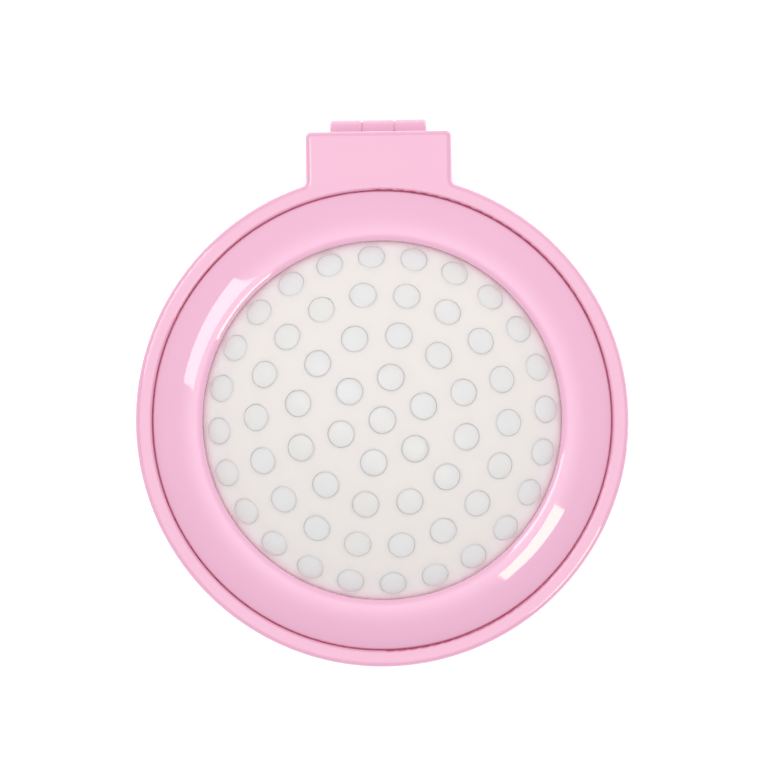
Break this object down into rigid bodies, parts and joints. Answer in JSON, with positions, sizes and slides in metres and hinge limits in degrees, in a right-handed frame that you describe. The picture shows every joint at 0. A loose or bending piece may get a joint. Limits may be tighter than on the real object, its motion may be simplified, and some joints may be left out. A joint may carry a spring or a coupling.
{
  "type": "folding compact hairbrush with mirror",
  "caption": "Round folding compact with a mirror in one half and a pop-out rubber cushion of hairbrush pins in the other, joined by a small knuckle hinge.",
  "frame": {"origin": "centre of the mirror half's flat back face, on the axis of the round case", "axes": "+Z the way the rubber pad bulges, +Y towards the hinge, +X along the hinge to the right"},
  "size_m": [0.0704, 0.0789, 0.0284],
  "materials": {
    "pink_shell": "gloss, pale pink",
    "pink_inner": "satin, pale pink",
    "foam_tape": "white foam",
    "mirror": "silvered glass, ground bevel",
    "steel": "drawn wire",
    "pad_rubber": "soft warm-white rubber",
    "pin_nylon": "semi-clear nylon"
  },
  "bodies": {
    "mirror_half": {"mirror_case": "pink_shell", "mirror_tray": "pink_inner", "mirror_tape": "foam_tape", "mirror_glass": "mirror"},
    "brush_half": {"brush_case": "pink_shell", "bezel_ring": "pink_shell", "clamp_ring": "pink_inner", "rubber_pad": "pad_rubber", "hinge_pin": "steel"},
    "pin_centre": {"pin_centre": "pin_nylon"},
    "pin_ring1_01": {"pin_ring1_01": "pin_nylon"},
    "pin_ring1_02": {"pin_ring1_02": "pin_nylon"},
    "pin_ring1_03": {"pin_ring1_03": "pin_nylon"},
    "pin_ring1_04": {"pin_ring1_04": "pin_nylon"},
    "pin_ring1_05": {"pin_ring1_05": "pin_nylon"},
    "pin_ring1_06": {"pin_ring1_06": "pin_nylon"},
    "pin_ring2_01": {"pin_ring2_01": "pin_nylon"},
    "pin_ring2_02": {"pin_ring2_02": "pin_nylon"},
    "pin_ring2_03": {"pin_ring2_03": "pin_nylon"},
    "pin_ring2_04": {"pin_ring2_04": "pin_nylon"},
    "pin_ring2_05": {"pin_ring2_05": "pin_nylon"},
    "pin_ring2_06": {"pin_ring2_06": "pin_nylon"},
    "pin_ring2_07": {"pin_ring2_07": "pin_nylon"},
    "pin_ring2_08": {"pin_ring2_08": "pin_nylon"},
    "pin_ring2_09": {"pin_ring2_09": "pin_nylon"},
    "pin_ring2_10": {"pin_ring2_10": "pin_nylon"},
    "pin_ring2_11": {"pin_ring2_11": "pin_nylon"},
    "pin_ring2_12": {"pin_ring2_12": "pin_nylon"},
    "pin_ring3_01": {"pin_ring3_01": "pin_nylon"},
    "pin_ring3_02": {"pin_ring3_02": "pin_nylon"},
    "pin_ring3_03": {"pin_ring3_03": "pin_nylon"},
    "pin_ring3_04": {"pin_ring3_04": "pin_nylon"},
    "pin_ring3_05": {"pin_ring3_05": "pin_nylon"},
    "pin_ring3_06": {"pin_ring3_06": "pin_nylon"},
    "pin_ring3_07": {"pin_ring3_07": "pin_nylon"},
    "pin_ring3_08": {"pin_ring3_08": "pin_nylon"},
    "pin_ring3_09": {"pin_ring3_09": "pin_nylon"},
    "pin_ring3_10": {"pin_ring3_10": "pin_nylon"},
    "pin_ring3_11": {"pin_ring3_11": "pin_nylon"},
    "pin_ring3_12": {"pin_ring3_12": "pin_nylon"},
    "pin_ring3_13": {"pin_ring3_13": "pin_nylon"},
    "pin_ring3_14": {"pin_ring3_14": "pin_nylon"},
    "pin_ring3_15": {"pin_ring3_15": "pin_nylon"},
    "pin_ring3_16": {"pin_ring3_16": "pin_nylon"},
    "pin_ring3_17": {"pin_ring3_17": "pin_nylon"},
    "pin_ring3_18": {"pin_ring3_18": "pin_nylon"},
    "pin_pair_ring4_01": {"pin_pair_ring4_01": "pin_nylon"},
    "pin_pair_ring4_02": {"pin_pair_ring4_02": "pin_nylon"},
    "pin_pair_ring4_03": {"pin_pair_ring4_03": "pin_nylon"},
    "pin_pair_ring4_04": {"pin_pair_ring4_04": "pin_nylon"},
    "pin_pair_ring4_05": {"pin_pair_ring4_05": "pin_nylon"},
    "pin_pair_ring4_06": {"pin_pair_ring4_06": "pin_nylon"},
    "pin_pair_ring4_07": {"pin_pair_ring4_07": "pin_nylon"},
    "pin_pair_ring4_08": {"pin_pair_ring4_08": "pin_nylon"},
    "pin_pair_ring4_09": {"pin_pair_ring4_09": "pin_nylon"},
    "pin_pair_ring4_10": {"pin_pair_ring4_10": "pin_nylon"},
    "pin_pair_ring4_11": {"pin_pair_ring4_11": "pin_nylon"},
    "pin_pair_ring4_12": {"pin_pair_ring4_12": "pin_nylon"}
  },
  "joints": [
    {"name": "case_hinge", "type": "hinge", "parent": "mirror_half", "child": "brush_half", "pos_m": [0, 0.0414, 0.011], "axis": [-1, 0, 0], "range_deg": [0, 180]},
    {"name": "pin_centre_pop", "type": "slide", "parent": "brush_half", "child": "pin_centre", "axis": [0, 0, -1], "range_m": [0, 0.01592], "deforming": ["rubber_pad"]},
    {"name": "pin_ring1_01_pop", "type": "hinge", "parent": "brush_half", "child": "pin_ring1_01", "pos_m": [0.05816, 0.0189, 0.0204], "axis": [0.309, -0.9511, 0], "range_deg": [0, 15.6]},
    {"name": "pin_ring1_02_pop", "type": "hinge", "parent": "brush_half", "child": "pin_ring1_02", "pos_m": [0.01272, 0.05982, 0.0204], "axis": [0.9781, -0.2079, 0], "range_deg": [0, 15.6]},
    {"name": "pin_ring1_03_pop", "type": "hinge", "parent": "brush_half", "child": "pin_ring1_03", "pos_m": [-0.04545, 0.04092, 0.0204], "axis": [0.6691, 0.7431, 0], "range_deg": [0, 15.6]},
    {"name": "pin_ring1_04_pop", "type": "hinge", "parent": "brush_half", "child": "pin_ring1_04", "pos_m": [-0.05816, -0.0189, 0.0204], "axis": [-0.309, 0.9511, 0], "range_deg": [0, 15.6]},
    {"name": "pin_ring1_05_pop", "type": "hinge", "parent": "brush_half", "child": "pin_ring1_05", "pos_m": [-0.01272, -0.05982, 0.0204], "axis": [-0.9781, 0.2079, 0], "range_deg": [0, 15.6]},
    {"name": "pin_ring1_06_pop", "type": "hinge", "parent": "brush_half", "child": "pin_ring1_06", "pos_m": [0.04545, -0.04092, 0.0204], "axis": [-0.6691, -0.7431, 0], "range_deg": [0, 15.6]},
    {"name": "pin_ring2_01_pop", "type": "hinge", "parent": "brush_half", "child": "pin_ring2_01", "pos_m": [0.03297, 0.01071, 0.0204], "axis": [0.309, -0.9511, 0], "range_deg": [0, 31.2]},
    {"name": "pin_ring2_02_pop", "type": "hinge", "parent": "brush_half", "child": "pin_ring2_02", "pos_m": [0.02319, 0.02576, 0.0204], "axis": [0.7431, -0.6691, 0], "range_deg": [0, 31.2]},
    {"name": "pin_ring2_03_pop", "type": "hinge", "parent": "brush_half", "child": "pin_ring2_03", "pos_m": [0.00721, 0.0339, 0.0204], "axis": [0.9781, -0.2079, 0], "range_deg": [0, 31.2]},
    {"name": "pin_ring2_04_pop", "type": "hinge", "parent": "brush_half", "child": "pin_ring2_04", "pos_m": [-0.01071, 0.03297, 0.0204], "axis": [0.9511, 0.309, 0], "range_deg": [0, 31.2]},
    {"name": "pin_ring2_05_pop", "type": "hinge", "parent": "brush_half", "child": "pin_ring2_05", "pos_m": [-0.02576, 0.02319, 0.0204], "axis": [0.6691, 0.7431, 0], "range_deg": [0, 31.2]},
    {"name": "pin_ring2_06_pop", "type": "hinge", "parent": "brush_half", "child": "pin_ring2_06", "pos_m": [-0.0339, 0.00721, 0.0204], "axis": [0.2079, 0.9781, 0], "range_deg": [0, 31.2]},
    {"name": "pin_ring2_07_pop", "type": "hinge", "parent": "brush_half", "child": "pin_ring2_07", "pos_m": [-0.03297, -0.01071, 0.0204], "axis": [-0.309, 0.9511, 0], "range_deg": [0, 31.2]},
    {"name": "pin_ring2_08_pop", "type": "hinge", "parent": "brush_half", "child": "pin_ring2_08", "pos_m": [-0.02319, -0.02576, 0.0204], "axis": [-0.7431, 0.6691, 0], "range_deg": [0, 31.2]},
    {"name": "pin_ring2_09_pop", "type": "hinge", "parent": "brush_half", "child": "pin_ring2_09", "pos_m": [-0.00721, -0.0339, 0.0204], "axis": [-0.9781, 0.2079, 0], "range_deg": [0, 31.2]},
    {"name": "pin_ring2_10_pop", "type": "hinge", "parent": "brush_half", "child": "pin_ring2_10", "pos_m": [0.01071, -0.03297, 0.0204], "axis": [-0.9511, -0.309, 0], "range_deg": [0, 31.2]},
    {"name": "pin_ring2_11_pop", "type": "hinge", "parent": "brush_half", "child": "pin_ring2_11", "pos_m": [0.02576, -0.02319, 0.0204], "axis": [-0.6691, -0.7431, 0], "range_deg": [0, 31.2]},
    {"name": "pin_ring2_12_pop", "type": "hinge", "parent": "brush_half", "child": "pin_ring2_12", "pos_m": [0.0339, -0.00721, 0.0204], "axis": [-0.2079, -0.9781, 0], "range_deg": [0, 31.2]},
    {"name": "pin_ring3_01_pop", "type": "hinge", "parent": "brush_half", "child": "pin_ring3_01", "pos_m": [0.02635, 0.00856, 0.0204], "axis": [0.309, -0.9511, 0], "range_deg": [0, 46.8]},
    {"name": "pin_ring3_02_pop", "type": "hinge", "parent": "brush_half", "child": "pin_ring3_02", "pos_m": [0.02183, 0.01706, 0.0204], "axis": [0.6157, -0.788, 0], "range_deg": [0, 46.8]},
    {"name": "pin_ring3_03_pop", "type": "hinge", "parent": "brush_half", "child": "pin_ring3_03", "pos_m": [0.01468, 0.0235, 0.0204], "axis": [0.848, -0.5299, 0], "range_deg": [0, 46.8]},
    {"name": "pin_ring3_04_pop", "type": "hinge", "parent": "brush_half", "child": "pin_ring3_04", "pos_m": [0.00576, 0.0271, 0.0204], "axis": [0.9781, -0.2079, 0], "range_deg": [0, 46.8]},
    {"name": "pin_ring3_05_pop", "type": "hinge", "parent": "brush_half", "child": "pin_ring3_05", "pos_m": [-0.00386, 0.02744, 0.0204], "axis": [0.9903, 0.1392, 0], "range_deg": [0, 46.8]},
    {"name": "pin_ring3_06_pop", "type": "hinge", "parent": "brush_half", "child": "pin_ring3_06", "pos_m": [-0.01301, 0.02446, 0.0204], "axis": [0.8829, 0.4695, 0], "range_deg": [0, 46.8]},
    {"name": "pin_ring3_07_pop", "type": "hinge", "parent": "brush_half", "child": "pin_ring3_07", "pos_m": [-0.02059, 0.01854, 0.0204], "axis": [0.6691, 0.7431, 0], "range_deg": [0, 46.8]},
    {"name": "pin_ring3_08_pop", "type": "hinge", "parent": "brush_half", "child": "pin_ring3_08", "pos_m": [-0.02569, 0.01038, 0.0204], "axis": [0.3746, 0.9272, 0], "range_deg": [0, 46.8]},
    {"name": "pin_ring3_09_pop", "type": "hinge", "parent": "brush_half", "child": "pin_ring3_09", "pos_m": [-0.02769, 0.00097, 0.0204], "axis": [0.0349, 0.9994, 0], "range_deg": [0, 46.8]},
    {"name": "pin_ring3_10_pop", "type": "hinge", "parent": "brush_half", "child": "pin_ring3_10", "pos_m": [-0.02635, -0.00856, 0.0204], "axis": [-0.309, 0.9511, 0], "range_deg": [0, 46.8]},
    {"name": "pin_ring3_11_pop", "type": "hinge", "parent": "brush_half", "child": "pin_ring3_11", "pos_m": [-0.02183, -0.01706, 0.0204], "axis": [-0.6157, 0.788, 0], "range_deg": [0, 46.8]},
    {"name": "pin_ring3_12_pop", "type": "hinge", "parent": "brush_half", "child": "pin_ring3_12", "pos_m": [-0.01468, -0.0235, 0.0204], "axis": [-0.848, 0.5299, 0], "range_deg": [0, 46.8]},
    {"name": "pin_ring3_13_pop", "type": "hinge", "parent": "brush_half", "child": "pin_ring3_13", "pos_m": [-0.00576, -0.0271, 0.0204], "axis": [-0.9781, 0.2079, 0], "range_deg": [0, 46.8]},
    {"name": "pin_ring3_14_pop", "type": "hinge", "parent": "brush_half", "child": "pin_ring3_14", "pos_m": [0.00386, -0.02744, 0.0204], "axis": [-0.9903, -0.1392, 0], "range_deg": [0, 46.8]},
    {"name": "pin_ring3_15_pop", "type": "hinge", "parent": "brush_half", "child": "pin_ring3_15", "pos_m": [0.01301, -0.02446, 0.0204], "axis": [-0.8829, -0.4695, 0], "range_deg": [0, 46.8]},
    {"name": "pin_ring3_16_pop", "type": "hinge", "parent": "brush_half", "child": "pin_ring3_16", "pos_m": [0.02059, -0.01854, 0.0204], "axis": [-0.6691, -0.7431, 0], "range_deg": [0, 46.8]},
    {"name": "pin_ring3_17_pop", "type": "hinge", "parent": "brush_half", "child": "pin_ring3_17", "pos_m": [0.02569, -0.01038, 0.0204], "axis": [-0.3746, -0.9272, 0], "range_deg": [0, 46.8]},
    {"name": "pin_ring3_18_pop", "type": "hinge", "parent": "brush_half", "child": "pin_ring3_18", "pos_m": [0.02769, -0.00097, 0.0204], "axis": [-0.0349, -0.9994, 0], "range_deg": [0, 46.8]},
    {"name": "pin_pair_ring4_01_pop", "type": "hinge", "parent": "brush_half", "child": "pin_pair_ring4_01", "pos_m": [0.02304, 0.01099, 0.0204], "axis": [0.4305, -0.9026, 0], "range_deg": [0, 61.96]},
    {"name": "pin_pair_ring4_02_pop", "type": "hinge", "parent": "brush_half", "child": "pin_pair_ring4_02", "pos_m": [0.01446, 0.02104, 0.0204], "axis": [0.8241, -0.5664, 0], "range_deg": [0, 61.96]},
    {"name": "pin_pair_ring4_03_pop", "type": "hinge", "parent": "brush_half", "child": "pin_pair_ring4_03", "pos_m": [0.002, 0.02544, 0.0204], "axis": [0.9969, -0.0785, 0], "range_deg": [0, 61.96]},
    {"name": "pin_pair_ring4_04_pop", "type": "hinge", "parent": "brush_half", "child": "pin_pair_ring4_04", "pos_m": [-0.01099, 0.02304, 0.0204], "axis": [0.9026, 0.4305, 0], "range_deg": [0, 61.96]},
    {"name": "pin_pair_ring4_05_pop", "type": "hinge", "parent": "brush_half", "child": "pin_pair_ring4_05", "pos_m": [-0.02104, 0.01446, 0.0204], "axis": [0.5664, 0.8241, 0], "range_deg": [0, 61.96]},
    {"name": "pin_pair_ring4_06_pop", "type": "hinge", "parent": "brush_half", "child": "pin_pair_ring4_06", "pos_m": [-0.02544, 0.002, 0.0204], "axis": [0.0785, 0.9969, 0], "range_deg": [0, 61.96]},
    {"name": "pin_pair_ring4_07_pop", "type": "hinge", "parent": "brush_half", "child": "pin_pair_ring4_07", "pos_m": [-0.02304, -0.01099, 0.0204], "axis": [-0.4305, 0.9026, 0], "range_deg": [0, 61.96]},
    {"name": "pin_pair_ring4_08_pop", "type": "hinge", "parent": "brush_half", "child": "pin_pair_ring4_08", "pos_m": [-0.01446, -0.02104, 0.0204], "axis": [-0.8241, 0.5664, 0], "range_deg": [0, 61.96]},
    {"name": "pin_pair_ring4_09_pop", "type": "hinge", "parent": "brush_half", "child": "pin_pair_ring4_09", "pos_m": [-0.002, -0.02544, 0.0204], "axis": [-0.9969, 0.0785, 0], "range_deg": [0, 61.96]},
    {"name": "pin_pair_ring4_10_pop", "type": "hinge", "parent": "brush_half", "child": "pin_pair_ring4_10", "pos_m": [0.01099, -0.02304, 0.0204], "axis": [-0.9026, -0.4305, 0], "range_deg": [0, 61.96]},
    {"name": "pin_pair_ring4_11_pop", "type": "hinge", "parent": "brush_half", "child": "pin_pair_ring4_11", "pos_m": [0.02104, -0.01446, 0.0204], "axis": [-0.5664, -0.8241, 0], "range_deg": [0, 61.96]},
    {"name": "pin_pair_ring4_12_pop", "type": "hinge", "parent": "brush_half", "child": "pin_pair_ring4_12", "pos_m": [0.02544, -0.002, 0.0204], "axis": [-0.0785, -0.9969, 0], "range_deg": [0, 61.96]}
  ],
  "couplings": [
    {"joint": "pin_centre_pop", "follows": "case_hinge", "m_per_rad": 0.0050655},
    {"joint": "pin_ring1_01_pop", "follows": "case_hinge", "ratio": 0.086667},
    {"joint": "pin_ring1_02_pop", "follows": "case_hinge", "ratio": 0.086667},
    {"joint": "pin_ring1_03_pop", "follows": "case_hinge", "ratio": 0.086667},
    {"joint": "pin_ring1_04_pop", "follows": "case_hinge", "ratio": 0.086667},
    {"joint": "pin_ring1_05_pop", "follows": "case_hinge", "ratio": 0.086667},
    {"joint": "pin_ring1_06_pop", "follows": "case_hinge", "ratio": 0.086667},
    {"joint": "pin_ring2_01_pop", "follows": "case_hinge", "ratio": 0.17333},
    {"joint": "pin_ring2_02_pop", "follows": "case_hinge", "ratio": 0.17333},
    {"joint": "pin_ring2_03_pop", "follows": "case_hinge", "ratio": 0.17333},
    {"joint": "pin_ring2_04_pop", "follows": "case_hinge", "ratio": 0.17333},
    {"joint": "pin_ring2_05_pop", "follows": "case_hinge", "ratio": 0.17333},
    {"joint": "pin_ring2_06_pop", "follows": "case_hinge", "ratio": 0.17333},
    {"joint": "pin_ring2_07_pop", "follows": "case_hinge", "ratio": 0.17333},
    {"joint": "pin_ring2_08_pop", "follows": "case_hinge", "ratio": 0.17333},
    {"joint": "pin_ring2_09_pop", "follows": "case_hinge", "ratio": 0.17333},
    {"joint": "pin_ring2_10_pop", "follows": "case_hinge", "ratio": 0.17333},
    {"joint": "pin_ring2_11_pop", "follows": "case_hinge", "ratio": 0.17333},
    {"joint": "pin_ring2_12_pop", "follows": "case_hinge", "ratio": 0.17333},
    {"joint": "pin_ring3_01_pop", "follows": "case_hinge", "ratio": 0.26},
    {"joint": "pin_ring3_02_pop", "follows": "case_hinge", "ratio": 0.26},
    {"joint": "pin_ring3_03_pop", "follows": "case_hinge", "ratio": 0.26},
    {"joint": "pin_ring3_04_pop", "follows": "case_hinge", "ratio": 0.26},
    {"joint": "pin_ring3_05_pop", "follows": "case_hinge", "ratio": 0.26},
    {"joint": "pin_ring3_06_pop", "follows": "case_hinge", "ratio": 0.26},
    {"joint": "pin_ring3_07_pop", "follows": "case_hinge", "ratio": 0.26},
    {"joint": "pin_ring3_08_pop", "follows": "case_hinge", "ratio": 0.26},
    {"joint": "pin_ring3_09_pop", "follows": "case_hinge", "ratio": 0.26},
    {"joint": "pin_ring3_10_pop", "follows": "case_hinge", "ratio": 0.26},
    {"joint": "pin_ring3_11_pop", "follows": "case_hinge", "ratio": 0.26},
    {"joint": "pin_ring3_12_pop", "follows": "case_hinge", "ratio": 0.26},
    {"joint": "pin_ring3_13_pop", "follows": "case_hinge", "ratio": 0.26},
    {"joint": "pin_ring3_14_pop", "follows": "case_hinge", "ratio": 0.26},
    {"joint": "pin_ring3_15_pop", "follows": "case_hinge", "ratio": 0.26},
    {"joint": "pin_ring3_16_pop", "follows": "case_hinge", "ratio": 0.26},
    {"joint": "pin_ring3_17_pop", "follows": "case_hinge", "ratio": 0.26},
    {"joint": "pin_ring3_18_pop", "follows": "case_hinge", "ratio": 0.26},
    {"joint": "pin_pair_ring4_01_pop", "follows": "case_hinge", "ratio": 0.34425},
    {"joint": "pin_pair_ring4_02_pop", "follows": "case_hinge", "ratio": 0.34425},
    {"joint": "pin_pair_ring4_03_pop", "follows": "case_hinge", "ratio": 0.34425},
    {"joint": "pin_pair_ring4_04_pop", "follows": "case_hinge", "ratio": 0.34425},
    {"joint": "pin_pair_ring4_05_pop", "follows": "case_hinge", "ratio": 0.34425},
    {"joint": "pin_pair_ring4_06_pop", "follows": "case_hinge", "ratio": 0.34425},
    {"joint": "pin_pair_ring4_07_pop", "follows": "case_hinge", "ratio": 0.34425},
    {"joint": "pin_pair_ring4_08_pop", "follows": "case_hinge", "ratio": 0.34425},
    {"joint": "pin_pair_ring4_09_pop", "follows": "case_hinge", "ratio": 0.34425},
    {"joint": "pin_pair_ring4_10_pop", "follows": "case_hinge", "ratio": 0.34425},
    {"joint": "pin_pair_ring4_11_pop", "follows": "case_hinge", "ratio": 0.34425},
    {"joint": "pin_pair_ring4_12_pop", "follows": "case_hinge", "ratio": 0.34425}
  ]
}
